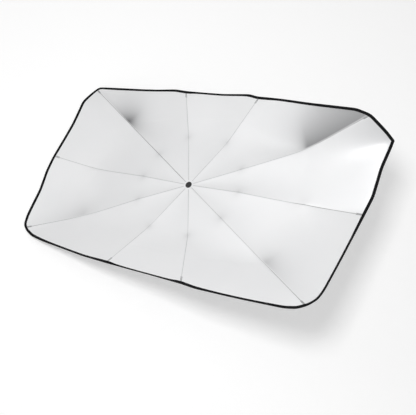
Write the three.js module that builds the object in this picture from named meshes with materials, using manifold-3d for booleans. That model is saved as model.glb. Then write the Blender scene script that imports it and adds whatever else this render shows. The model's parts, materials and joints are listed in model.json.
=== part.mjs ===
// Folding windscreen sunshade, built like an umbrella: a silver cloth on ten folding ribs, a runner that
// opens them, and a short telescoping shaft with a handle. It lies open on a floor, on the end of its
// handle and on the rib tips of its left edge. Millimetres, +Z up, origin at the middle of its base.

import * as THREE from 'three';
import { mergeVertices } from 'three/addons/utils/BufferGeometryUtils.js';
import Module from 'manifold-3d';

const wasm = await Module();
wasm.setup();

// Gaps between pieces
const REST_GAP = 0.3; // between two pieces that lie against each other
const PIVOT_PLAY = 0.3; // between a pivot pin and the hole that turns on it
const CHEEK_PLAY = 0.4; // between a lug and the cheeks or slot walls beside it

// Shaft
const UPPER_TUBE_RADIUS = 5;
const UPPER_TUBE_WALL = 0.65;
const LOWER_TUBE_RADIUS = 4;
const LOWER_TUBE_WALL = 0.6;
const LOWER_TUBE_LENGTH = 150;
const SOCKET_DEPTH = 14; // how far the upper tube sits in the handle

// Handle
const HANDLE_LENGTH = 58;
const HANDLE_TOP_RADIUS = 8.5;
const HANDLE_BELLY_RADIUS = 11.5;
const HANDLE_WAIST_RADIUS = 10;
const HANDLE_END_RADIUS = 13;
const END_CAP_THICKNESS = 3;
const END_CAP_CHAMFER = 0.8;
const END_PLUG_LENGTH = 6;

// Crown, at the top of the shaft
const CROWN_RADIUS = 19;
const CROWN_TOP = 4.3;
const CROWN_DEPTH = 3.9; // below the pivots
const CROWN_PLATE = 1.5; // solid plate above the slots
const CROWN_PIVOT_RADIUS = 16;
const CROWN_SLOT_START = 12.3;
const CROWN_LUG_THICKNESS = 1.8;

// Cap above the cloth
const CAP_RADIUS = 13;
const CAP_EDGE = 1;
const CAP_RISE = 2.6;
const CAP_STEM_RADIUS = 4.6;

// Runner
const RUNNER_PIVOT_RADIUS = 12;
const RUNNER_RING_RADIUS = 14;
const RUNNER_RING_HEIGHT = 6;
const RUNNER_SLOT_START = 10;
const RUNNER_SLEEVE_RADIUS = 8.6;
const RUNNER_SLEEVE_LENGTH = 15;
const RUNNER_LIP_RADIUS = 10.4;
const RUNNER_LIP_HEIGHT = 2;
const STOP_COLLAR_RADIUS = 7;
const STOP_COLLAR_HEIGHT = 4;
const BUTTON_WIDTH = 5;
const BUTTON_HEIGHT = 7.5;
const BUTTON_PROUD = 1.6;
const BUTTON_TRAVEL = 0.9;
const BUTTON_TURN = 250; // degrees about the shaft

// Ribs: lengths run from pivot to pivot, or to the end of the tip
const INNER_LENGTH = 205;
const MIDDLE_LENGTH = 262;
const CORNER_OUTER_LENGTH = 255;
const SIDE_OUTER_LENGTH = 203;
const SHORT_OUTER_LENGTH = 204;
const STRETCHER_LENGTH = 112;
const STRETCHER_PIVOT_ALONG = 90; // along the inner section, from the crown pivot
const STRETCHER_PIVOT_DROP = 3.6; // below the middle of the inner section
const PIN_RADIUS = 0.8;
const PIN_OFFSET = 2.8; // of a joint's pin from the middle of the sections
const RIVET_HEAD_RADIUS = 1.4;
const RIVET_HEAD_THICKNESS = 0.4;
const LUG_THICKNESS = 1.2;
const EYELET_THICKNESS = 2;
const EYELET_RADIUS = 1.7;
const LUG_RADIUS = 2.1;
const LUG_REACH = 11; // how far a lug or a cheek runs along its section
const CHEEK_THICKNESS = 0.8;
const JOINT_GAP = 3.4; // from a pin to the end of the pressed channel
const CROWN_JOINT_GAP = 4.6;
const CHANNEL_WALL = 0.7;
const INNER_CHANNEL = { width: 3.6, height: 3 };
const MIDDLE_CHANNEL = { width: 3.6, height: 2.8 };
const OUTER_CHANNEL = { width: 3.6, height: 2.4 };
const STRETCHER_CHANNEL = { width: 3.6, height: 2.6 };
const SPIGOT_RADIUS = 1.2;
const TIP_RADIUS = 2.5;
const TIP_LENGTH = 15;
const TIP_END_WALL = 3;

// Cloth
const CLOTH_THICKNESS = 0.6;
const HUB_ROW_RADII = [9, 20.5]; // of the cloth's hole and of where it leaves the crown
const CLOTH_OVER_CHANNEL = 2.4; // above the middle of a section
const CLOTH_OVER_JOINT = 2.9; // above a pin that stands on the top side
const CLOTH_OVER_TIP = 4;
const CLOTH_TIP_INSET = 3; // where the cloth starts down over a tip, from its end
const CLOTH_STEP = 90; // longest side of the outline's facets
const GORE_SAGS = [0, 0, 4, 7, 9, 11, 10, 6]; // at each row of the cloth, from the hub to the tips
const EDGE_SAG = 5; // of the cloth's edge between two ribs in the air
const STEEPEST_HEM = 0.12; // slope of the cloth under the binding
const EDGE_ABOVE_FLOOR = 2.2;
const EDGE_PAST_TIP = 12;
const BINDING_WIDTH = 8.5;
const BINDING_THICKNESS = 0.6;
const BINDING_GAP = 0.4; // between the cloth and the tape

// The ribs counter-clockwise, seen from above the cloth. turn is the rib's direction about the shaft in
// degrees, and rises are how far each of its sections tips up from level when the shade is open.
// edge runs along the cloth's edge from this rib's end towards the next. Each point is its share of the
// straight line between the two ends, how far it stands out from that line and, for a corner that droops,
// its height. floorEdge says that the cloth's edge lies on the floor there.
const RIBS = [
  {
    turn: 2.5,
    outer: SIDE_OUTER_LENGTH,
    rises: [0, -5, -1.5],
    edge: [[0.01, 14], [0.194, 35], [0.526, 53], [0.838, 84, 20], [0.902, 61]],
  },
  {
    turn: 28,
    outer: CORNER_OUTER_LENGTH,
    rises: [0, 2, 21.5],
    edge: [[-0.034, 2], [0.1, 18], [0.511, 16], [0.784, 16]],
  },
  { turn: 66.5, outer: SHORT_OUTER_LENGTH, rises: [0, 13], edge: [[0.011, 10], [0.124, 19], [0.488, 13]] },
  { turn: 114.5, outer: SHORT_OUTER_LENGTH, rises: [0, 8], edge: [[-0.003, 11], [0.129, 20], [0.341, 16]] },
  {
    turn: 151,
    outer: CORNER_OUTER_LENGTH,
    rises: [0, -1, 7],
    floorEdge: true,
    edge: [[-0.038, 7], [0.086, 22], [0.218, 33], [0.556, 18]],
  },
  {
    turn: 180,
    outer: SIDE_OUTER_LENGTH,
    rises: [0, -3.5, 16],
    floorEdge: true,
    edge: [[0.039, 14], [0.237, 17], [0.507, 13], [0.869, 20], [0.995, 17]],
  },
  {
    turn: 207,
    outer: CORNER_OUTER_LENGTH,
    rises: [0, -2, 8.5],
    edge: [[0.007, 18], [0.099, 30], [0.245, 31], [0.731, 21]],
  },
  { turn: 245.5, outer: SHORT_OUTER_LENGTH, rises: [0, 11.5], edge: [[-0.027, 10], [0.582, 9]] },
  {
    turn: 294,
    outer: SHORT_OUTER_LENGTH,
    rises: [0, 15],
    edge: [[0.012, 11], [0.133, 18], [0.515, 23], [0.855, 25], [0.946, 19]],
  },
  {
    turn: 331.5,
    outer: CORNER_OUTER_LENGTH,
    rises: [0, -1.5, 15],
    edge: [[-0.001, 9], [0.081, 26], [0.175, 29], [0.577, 21]],
  },
];

// Heights along the shaft, from the pivots of the crown at 0
const runnerRise = Math.sqrt(
  STRETCHER_LENGTH ** 2 - (CROWN_PIVOT_RADIUS + STRETCHER_PIVOT_ALONG - RUNNER_PIVOT_RADIUS) ** 2,
);
const runnerHeight = -STRETCHER_PIVOT_DROP - runnerRise;
const closedRunnerHeight = -STRETCHER_PIVOT_ALONG - STRETCHER_LENGTH;
const handleTop = closedRunnerHeight - RUNNER_RING_HEIGHT / 2 - RUNNER_SLEEVE_LENGTH - 5 * REST_GAP;
const handleEnd = handleTop - HANDLE_LENGTH;
const clothBottom = CROWN_TOP + REST_GAP;

// Materials
const silverCloth = new THREE.MeshStandardMaterial({ color: 0xd9dbe0, roughness: 0.5, metalness: 0.25 });
const blackTape = new THREE.MeshStandardMaterial({ color: 0x17181b, roughness: 0.9, metalness: 0 });
const blackPlastic = new THREE.MeshStandardMaterial({ color: 0x1b1c1f, roughness: 0.5, metalness: 0 });
const blackSteel = new THREE.MeshStandardMaterial({ color: 0x2a2b2e, roughness: 0.4, metalness: 0.7 });
const platedSteel = new THREE.MeshStandardMaterial({ color: 0xb4b7bb, roughness: 0.3, metalness: 0.9 });

const radians = THREE.MathUtils.degToRad;

function toSolid(geometry) {
  const bare = geometry.clone();
  bare.deleteAttribute('normal');
  bare.deleteAttribute('uv');
  const merged = mergeVertices(bare, 1e-4);
  return new wasm.Manifold(
    new wasm.Mesh({
      numProp: 3,
      vertProperties: new Float32Array(merged.attributes.position.array),
      triVerts: new Uint32Array(merged.index.array),
    }),
  );
}

function toGeometry(solid) {
  const mesh = solid.getMesh();
  const geometry = new THREE.BufferGeometry();
  geometry.setAttribute('position', new THREE.BufferAttribute(new Float32Array(mesh.vertProperties), 3));
  geometry.setIndex(new THREE.BufferAttribute(new Uint32Array(mesh.triVerts), 1));
  geometry.computeVertexNormals();
  return geometry;
}

function join(geometries) {
  return geometries.map(toSolid).reduce((whole, piece) => whole.add(piece));
}

function cut(solid, geometries) {
  return geometries.map(toSolid).reduce((rest, tool) => rest.subtract(tool), solid);
}

function meshOf(name, geometry, material) {
  const mesh = new THREE.Mesh(geometry, material.clone());
  mesh.name = name;
  return mesh;
}

// A solid of revolution about the shaft, from a closed outline of radius and height
function turned(outline, segments) {
  const points = outline.map(([radius, height]) => new THREE.Vector2(radius, height));
  const geometry = new THREE.LatheGeometry([...points, points[0]], segments);
  return geometry.rotateX(Math.PI / 2);
}

// A tube along the shaft, open at both ends
function tube(outerRadius, innerRadius, bottom, top, segments) {
  return turned(
    [[innerRadius, bottom], [outerRadius, bottom], [outerRadius, top], [innerRadius, top]],
    segments,
  );
}

// A plate that stands upright in the plane of a rib, centred on it or between two distances from it
function uprightPlate(points, nearSide, farSide) {
  const shape = new THREE.Shape(points.map(([along, up]) => new THREE.Vector2(along, up)));
  const plate = new THREE.ExtrudeGeometry(shape, { depth: farSide - nearSide, bevelEnabled: false });
  return plate.rotateX(Math.PI / 2).translate(0, farSide, 0);
}

function crossPin(along, up, radius, nearSide, farSide) {
  const pin = new THREE.CylinderGeometry(radius, radius, farSide - nearSide, 6);
  return pin.translate(along, (nearSide + farSide) / 2, up);
}

// The outline of a lug: a round eye about the pin, drawn back to the section it belongs to
function lugOutline(root, pinAlong, pinUp, eyeRadius, halfHeight) {
  const side = Math.sign(pinAlong - root);
  const eye = [];
  for (let angle = 100; angle >= -100; angle -= 50) {
    eye.push([
      pinAlong + side * eyeRadius * Math.cos(radians(angle)),
      pinUp + eyeRadius * Math.sin(radians(angle)),
    ]);
  }
  return [[root, halfHeight], ...eye, [root, -halfHeight]];
}

// A strip of steel pressed to a channel that is open below
function channel(from, to, { width, height }) {
  const half = width / 2;
  const inside = half - CHANNEL_WALL;
  const top = height / 2;
  const shape = new THREE.Shape(
    [
      [-half, -top],
      [-half, top],
      [half, top],
      [half, -top],
      [inside, -top],
      [inside, top - CHANNEL_WALL],
      [-inside, top - CHANNEL_WALL],
      [-inside, -top],
    ].map(([across, up]) => new THREE.Vector2(-up, across)),
  );
  const strip = new THREE.ExtrudeGeometry(shape, { depth: to - from, bevelEnabled: false });
  return strip.rotateY(Math.PI / 2).translate(from, 0, 0);
}

// Two cheeks with a riveted pin between them, at the end of a channel
function fork(root, pinAlong, pinUp, { height }) {
  const inner = LUG_THICKNESS / 2 + CHEEK_PLAY;
  const outer = inner + CHEEK_THICKNESS;
  const outline = lugOutline(root, pinAlong, pinUp, LUG_RADIUS, height / 2);
  const head = outer + RIVET_HEAD_THICKNESS;
  return [
    uprightPlate(outline, inner, outer),
    uprightPlate(outline, -outer, -inner),
    crossPin(pinAlong, pinUp, PIN_RADIUS, -outer, outer),
    crossPin(pinAlong, pinUp, RIVET_HEAD_RADIUS, outer, head),
    crossPin(pinAlong, pinUp, RIVET_HEAD_RADIUS, -head, -outer),
  ];
}

function lug(root, pinAlong, pinUp, thickness, eyeRadius, height) {
  return uprightPlate(
    lugOutline(root, pinAlong, pinUp, eyeRadius, height / 2),
    -thickness / 2,
    thickness / 2,
  );
}

function pinHole(along, up) {
  const reach = INNER_CHANNEL.width;
  return crossPin(along, up, PIN_RADIUS + PIVOT_PLAY, -reach, reach);
}

// The section at the crown: a lug in the crown's slot, a hanger for the stretcher and a fork at the far end
function innerSection() {
  const size = INNER_CHANNEL;
  const hanger = uprightPlate(
    [
      [STRETCHER_PIVOT_ALONG - LUG_REACH / 2, size.height / 2 - CHANNEL_WALL / 2],
      [STRETCHER_PIVOT_ALONG - LUG_RADIUS, -STRETCHER_PIVOT_DROP],
      [STRETCHER_PIVOT_ALONG - LUG_RADIUS / 2, -STRETCHER_PIVOT_DROP - LUG_RADIUS],
      [STRETCHER_PIVOT_ALONG + LUG_RADIUS / 2, -STRETCHER_PIVOT_DROP - LUG_RADIUS],
      [STRETCHER_PIVOT_ALONG + LUG_RADIUS, -STRETCHER_PIVOT_DROP],
      [STRETCHER_PIVOT_ALONG + LUG_REACH / 2, size.height / 2 - CHANNEL_WALL / 2],
    ].reverse(),
    -LUG_THICKNESS / 2,
    LUG_THICKNESS / 2,
  );
  const body = join([
    channel(CROWN_JOINT_GAP, INNER_LENGTH - JOINT_GAP, size),
    lug(LUG_REACH, 0, 0, CROWN_LUG_THICKNESS, LUG_RADIUS, size.height),
    hanger,
    ...fork(INNER_LENGTH - LUG_REACH, INNER_LENGTH, PIN_OFFSET, size),
  ]);
  return toGeometry(cut(body, [pinHole(0, 0), pinHole(STRETCHER_PIVOT_ALONG, -STRETCHER_PIVOT_DROP)]));
}

// The section between two folding joints: its first pin is above it and its second below
function middleSection() {
  const size = MIDDLE_CHANNEL;
  const body = join([
    channel(JOINT_GAP, MIDDLE_LENGTH - JOINT_GAP, size),
    lug(LUG_REACH, 0, PIN_OFFSET, LUG_THICKNESS, LUG_RADIUS, size.height),
    ...fork(MIDDLE_LENGTH - LUG_REACH, MIDDLE_LENGTH, -PIN_OFFSET, size),
  ]);
  return toGeometry(cut(body, [pinHole(0, PIN_OFFSET)]));
}

// The last section, whose far end is drawn down to a round spigot for the tip
function outerSection(length, pinUp) {
  const size = OUTER_CHANNEL;
  const shoulder = length - TIP_LENGTH - REST_GAP;
  const spigotLength = TIP_LENGTH - TIP_END_WALL;
  const spigot = new THREE.CylinderGeometry(SPIGOT_RADIUS, SPIGOT_RADIUS, spigotLength + 2, 6)
    .rotateZ(Math.PI / 2)
    .translate(shoulder + spigotLength / 2 - 1, 0, 0);
  const body = join([
    channel(JOINT_GAP, shoulder, size),
    lug(LUG_REACH, 0, pinUp, LUG_THICKNESS, LUG_RADIUS, size.height),
    spigot,
  ]);
  return toGeometry(cut(body, [pinHole(0, pinUp)]));
}

// The stretcher from the runner, where it has an eyelet, to the hanger of the inner section
function stretcher() {
  const size = STRETCHER_CHANNEL;
  const body = join([
    channel(JOINT_GAP + EYELET_RADIUS, STRETCHER_LENGTH - JOINT_GAP, size),
    lug(LUG_REACH, 0, 0, EYELET_THICKNESS, EYELET_RADIUS, size.height),
    ...fork(STRETCHER_LENGTH - LUG_REACH, STRETCHER_LENGTH, 0, size),
  ]);
  return toGeometry(cut(body, [pinHole(0, 0)]));
}

// A moulded tip with a blind hole for the spigot and a domed end
function ribTip(length) {
  const hole = SPIGOT_RADIUS + REST_GAP;
  const start = length - TIP_LENGTH;
  const dome = TIP_RADIUS * 0.6;
  const outline = [
    [0, length - TIP_END_WALL + 1],
    [hole, length - TIP_END_WALL + 1],
    [hole, start],
    [TIP_RADIUS - 0.5, start],
    [TIP_RADIUS, start + 2],
    [TIP_RADIUS, length - dome],
    [dome, length],
    [0, length],
  ];
  const points = outline.map(([radius, along]) => new THREE.Vector2(radius, along));
  return new THREE.LatheGeometry(points, 8).rotateZ(-Math.PI / 2);
}

// Where each section of an open rib starts, in the upright plane of the rib, from the pins outwards
function sectionPlaces(rib) {
  const lengths =
    rib.rises.length === 3 ? [INNER_LENGTH, MIDDLE_LENGTH, rib.outer] : [INNER_LENGTH, rib.outer];
  const places = [];
  let start = new THREE.Vector2(CROWN_PIVOT_RADIUS, 0);
  lengths.forEach((length, index) => {
    const rise = radians(rib.rises[index]);
    const along = new THREE.Vector2(Math.cos(rise), Math.sin(rise));
    const up = new THREE.Vector2(-along.y, along.x);
    places.push({ length, rise, start, along, up });
    if (index === lengths.length - 1) {
      return;
    }
    const offset = index === 0 ? PIN_OFFSET : -PIN_OFFSET;
    const nextRise = radians(rib.rises[index + 1]);
    const nextUp = new THREE.Vector2(-Math.sin(nextRise), Math.cos(nextRise));
    start = start
      .clone()
      .addScaledVector(along, length)
      .addScaledVector(up, offset)
      .addScaledVector(nextUp, -offset);
  });
  return places;
}

// A point of a section, in the upright plane of its rib
function onSection(place, along, up) {
  return place.start.clone().addScaledVector(place.along, along).addScaledVector(place.up, up);
}

function toSpace(rib, point) {
  const turn = radians(rib.turn);
  return new THREE.Vector3(point.x * Math.cos(turn), point.x * Math.sin(turn), point.y);
}

const shade = new THREE.Group();

// Shaft and handle
const gripBottom = handleEnd + END_CAP_THICKNESS + REST_GAP;
const tubeInside = UPPER_TUBE_RADIUS - UPPER_TUBE_WALL;
const sleeveBore = UPPER_TUBE_RADIUS + REST_GAP;
const gripBore = LOWER_TUBE_RADIUS + REST_GAP;
const lowerTubeBottom = gripBottom + END_PLUG_LENGTH + REST_GAP;
const socketBottom = handleTop - SOCKET_DEPTH;

const upperTube = tube(
  UPPER_TUBE_RADIUS,
  tubeInside,
  socketBottom + REST_GAP,
  CROWN_TOP - CROWN_PLATE - REST_GAP,
  20,
);
const lowerTube = tube(
  LOWER_TUBE_RADIUS,
  LOWER_TUBE_RADIUS - LOWER_TUBE_WALL,
  lowerTubeBottom,
  lowerTubeBottom + LOWER_TUBE_LENGTH,
  20,
);
const grip = turned(
  [
    [gripBore, gripBottom],
    [HANDLE_END_RADIUS - 0.6, gripBottom],
    [HANDLE_END_RADIUS, gripBottom + 1.5],
    [HANDLE_END_RADIUS - 0.8, gripBottom + 5],
    [HANDLE_WAIST_RADIUS, gripBottom + 13],
    [HANDLE_WAIST_RADIUS + 0.8, gripBottom + 20],
    [HANDLE_BELLY_RADIUS, gripBottom + 30],
    [HANDLE_BELLY_RADIUS - 0.6, gripBottom + 40],
    [HANDLE_TOP_RADIUS + 1, handleTop - 4],
    [HANDLE_TOP_RADIUS, handleTop],
    [sleeveBore, handleTop],
    [sleeveBore, socketBottom],
    [gripBore, socketBottom],
  ],
  24,
);
const endPlugRadius = LOWER_TUBE_RADIUS - REST_GAP;
const endCap = turned(
  [
    [0, handleEnd],
    [HANDLE_END_RADIUS - END_CAP_CHAMFER, handleEnd],
    [HANDLE_END_RADIUS, handleEnd + END_CAP_CHAMFER],
    [HANDLE_END_RADIUS, handleEnd + END_CAP_THICKNESS],
    [endPlugRadius, handleEnd + END_CAP_THICKNESS],
    [endPlugRadius, handleEnd + END_CAP_THICKNESS + END_PLUG_LENGTH],
    [0, handleEnd + END_CAP_THICKNESS + END_PLUG_LENGTH],
  ],
  24,
);
const handleEndCap = meshOf('handle_end_cap', endCap, blackPlastic);
shade.add(
  meshOf('upper_tube', upperTube, platedSteel),
  meshOf('lower_tube', lowerTube, platedSteel),
  meshOf('handle_grip', grip, blackPlastic),
  handleEndCap,
);

// Crown: a slotted hub with a pin across each slot
const crownBlank = turned(
  [
    [0, CROWN_TOP - CROWN_PLATE],
    [sleeveBore, CROWN_TOP - CROWN_PLATE],
    [sleeveBore, -CROWN_DEPTH],
    [CROWN_PIVOT_RADIUS, -CROWN_DEPTH],
    [CROWN_RADIUS - 0.6, -CROWN_DEPTH + 0.9],
    [CROWN_RADIUS, -1.5],
    [CROWN_RADIUS, CROWN_TOP - 0.6],
    [CROWN_RADIUS - 0.6, CROWN_TOP],
    [0, CROWN_TOP],
  ],
  30,
);

function radialSlot(rib, from, to, width, bottom, top) {
  return new THREE.BoxGeometry(to - from, width, top - bottom)
    .translate((from + to) / 2, 0, (bottom + top) / 2)
    .rotateZ(radians(rib.turn));
}

const crownSlotWidth = CROWN_LUG_THICKNESS + 2 * CHEEK_PLAY;
const crownSlots = RIBS.map((rib) =>
  radialSlot(rib, CROWN_SLOT_START, CROWN_RADIUS + 1, crownSlotWidth, -CROWN_DEPTH - 1, CROWN_TOP - CROWN_PLATE),
);
const crownPins = RIBS.map((rib) =>
  crossPin(CROWN_PIVOT_RADIUS, 0, PIN_RADIUS, -crownSlotWidth / 2 - 0.4, crownSlotWidth / 2 + 0.4).rotateZ(
    radians(rib.turn),
  ),
);
const slottedCrown = cut(toSolid(crownBlank), crownSlots);
const crown = crownPins.map(toSolid).reduce((whole, pin) => whole.add(pin), slottedCrown);
shade.add(meshOf('crown', toGeometry(crown), blackPlastic));

// Cap that clamps the cloth on the crown
const clothTop = clothBottom + CLOTH_THICKNESS;
const capBottom = clothTop + REST_GAP;
const cap = turned(
  [
    [0, clothBottom],
    [CAP_STEM_RADIUS, clothBottom],
    [CAP_STEM_RADIUS, capBottom],
    [CAP_RADIUS, capBottom],
    [CAP_RADIUS, capBottom + CAP_EDGE],
    [CAP_RADIUS - 1.2, capBottom + CAP_EDGE + 0.9],
    [CAP_RADIUS * 0.6, capBottom + CAP_RISE],
    [CAP_RADIUS * 0.3, capBottom + CAP_RISE],
    [CAP_RADIUS * 0.24, capBottom + CAP_RISE - 0.6],
    [0, capBottom + CAP_RISE - 0.6],
  ],
  24,
);
shade.add(meshOf('crown_cap', cap, blackPlastic));

// Runner, its stop on the shaft and its push button
const ringTop = runnerHeight + RUNNER_RING_HEIGHT / 2;
const ringBottom = runnerHeight - RUNNER_RING_HEIGHT / 2;
const sleeveBottom = ringBottom - RUNNER_SLEEVE_LENGTH;
const runnerBlank = turned(
  [
    [sleeveBore, sleeveBottom],
    [RUNNER_LIP_RADIUS, sleeveBottom],
    [RUNNER_LIP_RADIUS, sleeveBottom + RUNNER_LIP_HEIGHT],
    [RUNNER_SLEEVE_RADIUS, sleeveBottom + RUNNER_LIP_HEIGHT + 1],
    [RUNNER_SLEEVE_RADIUS, ringBottom],
    [RUNNER_RING_RADIUS, ringBottom],
    [RUNNER_RING_RADIUS, ringTop],
    [sleeveBore, ringTop],
  ],
  30,
);
const runnerSlotWidth = EYELET_THICKNESS + 2 * CHEEK_PLAY;
const runnerSlots = RIBS.map((rib) =>
  radialSlot(rib, RUNNER_SLOT_START, RUNNER_RING_RADIUS + 1, runnerSlotWidth, ringBottom - 1, ringTop + 1),
);
const buttonHeight = (ringBottom + sleeveBottom + RUNNER_LIP_HEIGHT) / 2;
const buttonBack = sleeveBore + BUTTON_TRAVEL;
const buttonFront = RUNNER_SLEEVE_RADIUS + BUTTON_PROUD;

function buttonBlock(from, to, margin) {
  return new THREE.BoxGeometry(to - from, BUTTON_WIDTH + 2 * margin, BUTTON_HEIGHT + 2 * margin)
    .translate((from + to) / 2, 0, buttonHeight)
    .rotateZ(radians(BUTTON_TURN));
}

const runner = cut(toSolid(runnerBlank), [
  ...runnerSlots,
  buttonBlock(UPPER_TUBE_RADIUS / 2, RUNNER_RING_RADIUS, REST_GAP),
]);
const thumbDish = new THREE.SphereGeometry(14, 24, 16)
  .translate(buttonFront + 13.4, 0, buttonHeight)
  .rotateZ(radians(BUTTON_TURN));
const button = cut(toSolid(buttonBlock(buttonBack, buttonFront, 0)), [thumbDish]);
const stopCollar = tube(
  STOP_COLLAR_RADIUS,
  sleeveBore,
  ringTop + REST_GAP,
  ringTop + REST_GAP + STOP_COLLAR_HEIGHT,
  20,
);
shade.add(
  meshOf('runner', toGeometry(runner), blackPlastic),
  meshOf('runner_button', toGeometry(button), blackPlastic),
  meshOf('runner_stop_collar', stopCollar, blackPlastic),
);

// Ribs, each in its own upright plane about the shaft
const inner = innerSection();
const middle = middleSection();
const stretcherPiece = stretcher();
const tipMeshes = [];

function placeSection(group, name, geometry, place, material) {
  const mesh = meshOf(name, geometry.clone(), material);
  mesh.position.set(place.start.x, 0, place.start.y);
  mesh.rotation.y = -place.rise;
  group.add(mesh);
  return mesh;
}

RIBS.forEach((rib, index) => {
  const name = `rib_${String(index + 1).padStart(2, '0')}`;
  const group = new THREE.Group();
  group.rotation.z = radians(rib.turn);
  const places = sectionPlaces(rib);
  const last = places[places.length - 1];
  placeSection(group, `${name}_inner`, inner, places[0], blackSteel);
  if (places.length === 3) {
    placeSection(group, `${name}_middle`, middle, places[1], blackSteel);
  }
  const lastPin = places.length === 3 ? -PIN_OFFSET : PIN_OFFSET;
  placeSection(group, `${name}_outer`, outerSection(last.length, lastPin), last, platedSteel);
  tipMeshes.push(placeSection(group, `${name}_tip`, ribTip(last.length), last, blackPlastic));
  const runnerPivot = new THREE.Vector2(RUNNER_PIVOT_RADIUS, runnerHeight);
  const hanger = onSection(places[0], STRETCHER_PIVOT_ALONG, -STRETCHER_PIVOT_DROP);
  const reach = hanger.clone().sub(runnerPivot);
  placeSection(
    group,
    `${name}_stretcher`,
    stretcherPiece,
    { start: runnerPivot, rise: Math.atan2(reach.y, reach.x) },
    blackSteel,
  );
  shade.add(group);
});

// The floor plane under the handle's end and the tips of the two corner ribs on the left
shade.updateMatrixWorld(true);

function lowestCorner(mesh, up) {
  const positions = mesh.geometry.attributes.position;
  const corner = new THREE.Vector3();
  let lowest = null;
  for (let i = 0; i < positions.count; i += 1) {
    corner.fromBufferAttribute(positions, i).applyMatrix4(mesh.matrixWorld);
    if (lowest === null || corner.dot(up) < lowest.dot(up)) {
      lowest = corner.clone();
    }
  }
  return lowest;
}

const cornerTipsOnFloor = RIBS.flatMap((rib, index) =>
  Math.cos(radians(rib.turn)) < 0 && rib.outer === CORNER_OUTER_LENGTH ? [tipMeshes[index]] : [],
);
const floorUp = new THREE.Vector3(0, 0, 1);
let floorPoints = [];
for (let pass = 0; pass < 6; pass += 1) {
  floorPoints = [handleEndCap, ...cornerTipsOnFloor].map((mesh) => lowestCorner(mesh, floorUp));
  const [a, b, c] = floorPoints;
  floorUp.copy(b).sub(a).cross(c.clone().sub(a)).normalize();
  if (floorUp.z < 0) {
    floorUp.negate();
  }
}

function floorHeight(x, y) {
  const point = floorPoints[0];
  return point.z - (floorUp.x * (x - point.x) + floorUp.y * (y - point.y)) / floorUp.z;
}

// Cloth: rows of points from the hub to the edge over each rib, and between the ribs in straight lines
// that sag a little
function clothOverRib(rib) {
  const places = sectionPlaces(rib);
  const last = places[places.length - 1];
  const flat = (radius) => toSpace(rib, new THREE.Vector2(radius, clothBottom));
  const over = (place, share, height) => toSpace(rib, onSection(place, place.length * share, height));
  const outward =
    places.length === 3
      ? [
          over(places[1], 0.5, CLOTH_OVER_CHANNEL),
          over(places[1], 1, CLOTH_OVER_CHANNEL),
          over(last, 0.5, CLOTH_OVER_CHANNEL),
        ]
      : [0.25, 0.5, 0.75].map((share) => over(last, share, CLOTH_OVER_CHANNEL));
  return [
    ...HUB_ROW_RADII.map(flat),
    over(places[0], 0.5, CLOTH_OVER_CHANNEL),
    over(places[0], 1, PIN_OFFSET + CLOTH_OVER_JOINT),
    ...outward,
    over(last, 1 - CLOTH_TIP_INSET / last.length, CLOTH_OVER_TIP),
  ];
}

const nextRib = (index) => RIBS[(index + 1) % RIBS.length];
const floorEdgeEnd = nextRib(RIBS.findLastIndex((rib) => rib.floorEdge));

function ribEnd(rib) {
  const last = sectionPlaces(rib).pop();
  const end = toSpace(rib, onSection(last, last.length, 0));
  return new THREE.Vector2(end.x, end.y);
}

function edgePlan(rib, [share, out]) {
  const from = ribEnd(rib);
  const chord = ribEnd(nextRib(RIBS.indexOf(rib))).sub(from);
  const outward = new THREE.Vector2(chord.y, -chord.x).normalize();
  return from.addScaledVector(chord, share).addScaledVector(outward, out);
}

function edgeOverRib(rib) {
  const { x, y } = edgePlan(rib, rib.edge[0]);
  if (rib.floorEdge || rib === floorEdgeEnd) {
    return new THREE.Vector3(x, y, floorHeight(x, y) + EDGE_ABOVE_FLOOR);
  }
  const places = sectionPlaces(rib);
  const last = places[places.length - 1];
  const height = onSection(last, last.length + EDGE_PAST_TIP, CLOTH_OVER_TIP).y;
  return new THREE.Vector3(x, y, height);
}

// The points of the cloth's edge from one rib to the next, with heights run evenly between known ones
function edgePoints(index) {
  const rib = RIBS[index];
  const start = edgeOverRib(rib);
  const end = edgeOverRib(nextRib(index));
  const known = rib.edge.slice(1).map((place) => {
    const { x, y } = edgePlan(rib, place);
    return { x, y, z: rib.floorEdge ? undefined : place[2] };
  });
  const corners = [start, ...known, end];
  const fine = [];
  for (let i = 0; i + 1 < corners.length; i += 1) {
    const from = corners[i];
    const to = corners[i + 1];
    const span = Math.hypot(to.x - from.x, to.y - from.y);
    const pieces = Math.ceil(span / CLOTH_STEP);
    for (let k = 0; k < pieces; k += 1) {
      const share = k / pieces;
      fine.push({
        x: THREE.MathUtils.lerp(from.x, to.x, share),
        y: THREE.MathUtils.lerp(from.y, to.y, share),
        z: k === 0 ? from.z : undefined,
      });
    }
  }
  fine.push(end);
  const steps = fine.map((point, i) => {
    const last = fine[Math.max(i - 1, 0)];
    return Math.hypot(point.x - last.x, point.y - last.y);
  });
  const run = steps.map((_, i) => steps.slice(0, i + 1).reduce((sum, value) => sum + value, 0));
  return fine.slice(0, -1).map((point, i) => {
    if (rib.floorEdge) {
      return new THREE.Vector3(point.x, point.y, floorHeight(point.x, point.y) + EDGE_ABOVE_FLOOR);
    }
    const before = fine.slice(0, i + 1).findLastIndex((other) => other.z !== undefined);
    const after = fine.findIndex((other, k) => k > i && other.z !== undefined);
    const share = (run[i] - run[before]) / (run[after] - run[before]);
    return new THREE.Vector3(point.x, point.y, THREE.MathUtils.lerp(fine[before].z, fine[after].z, share));
  });
}

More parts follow.
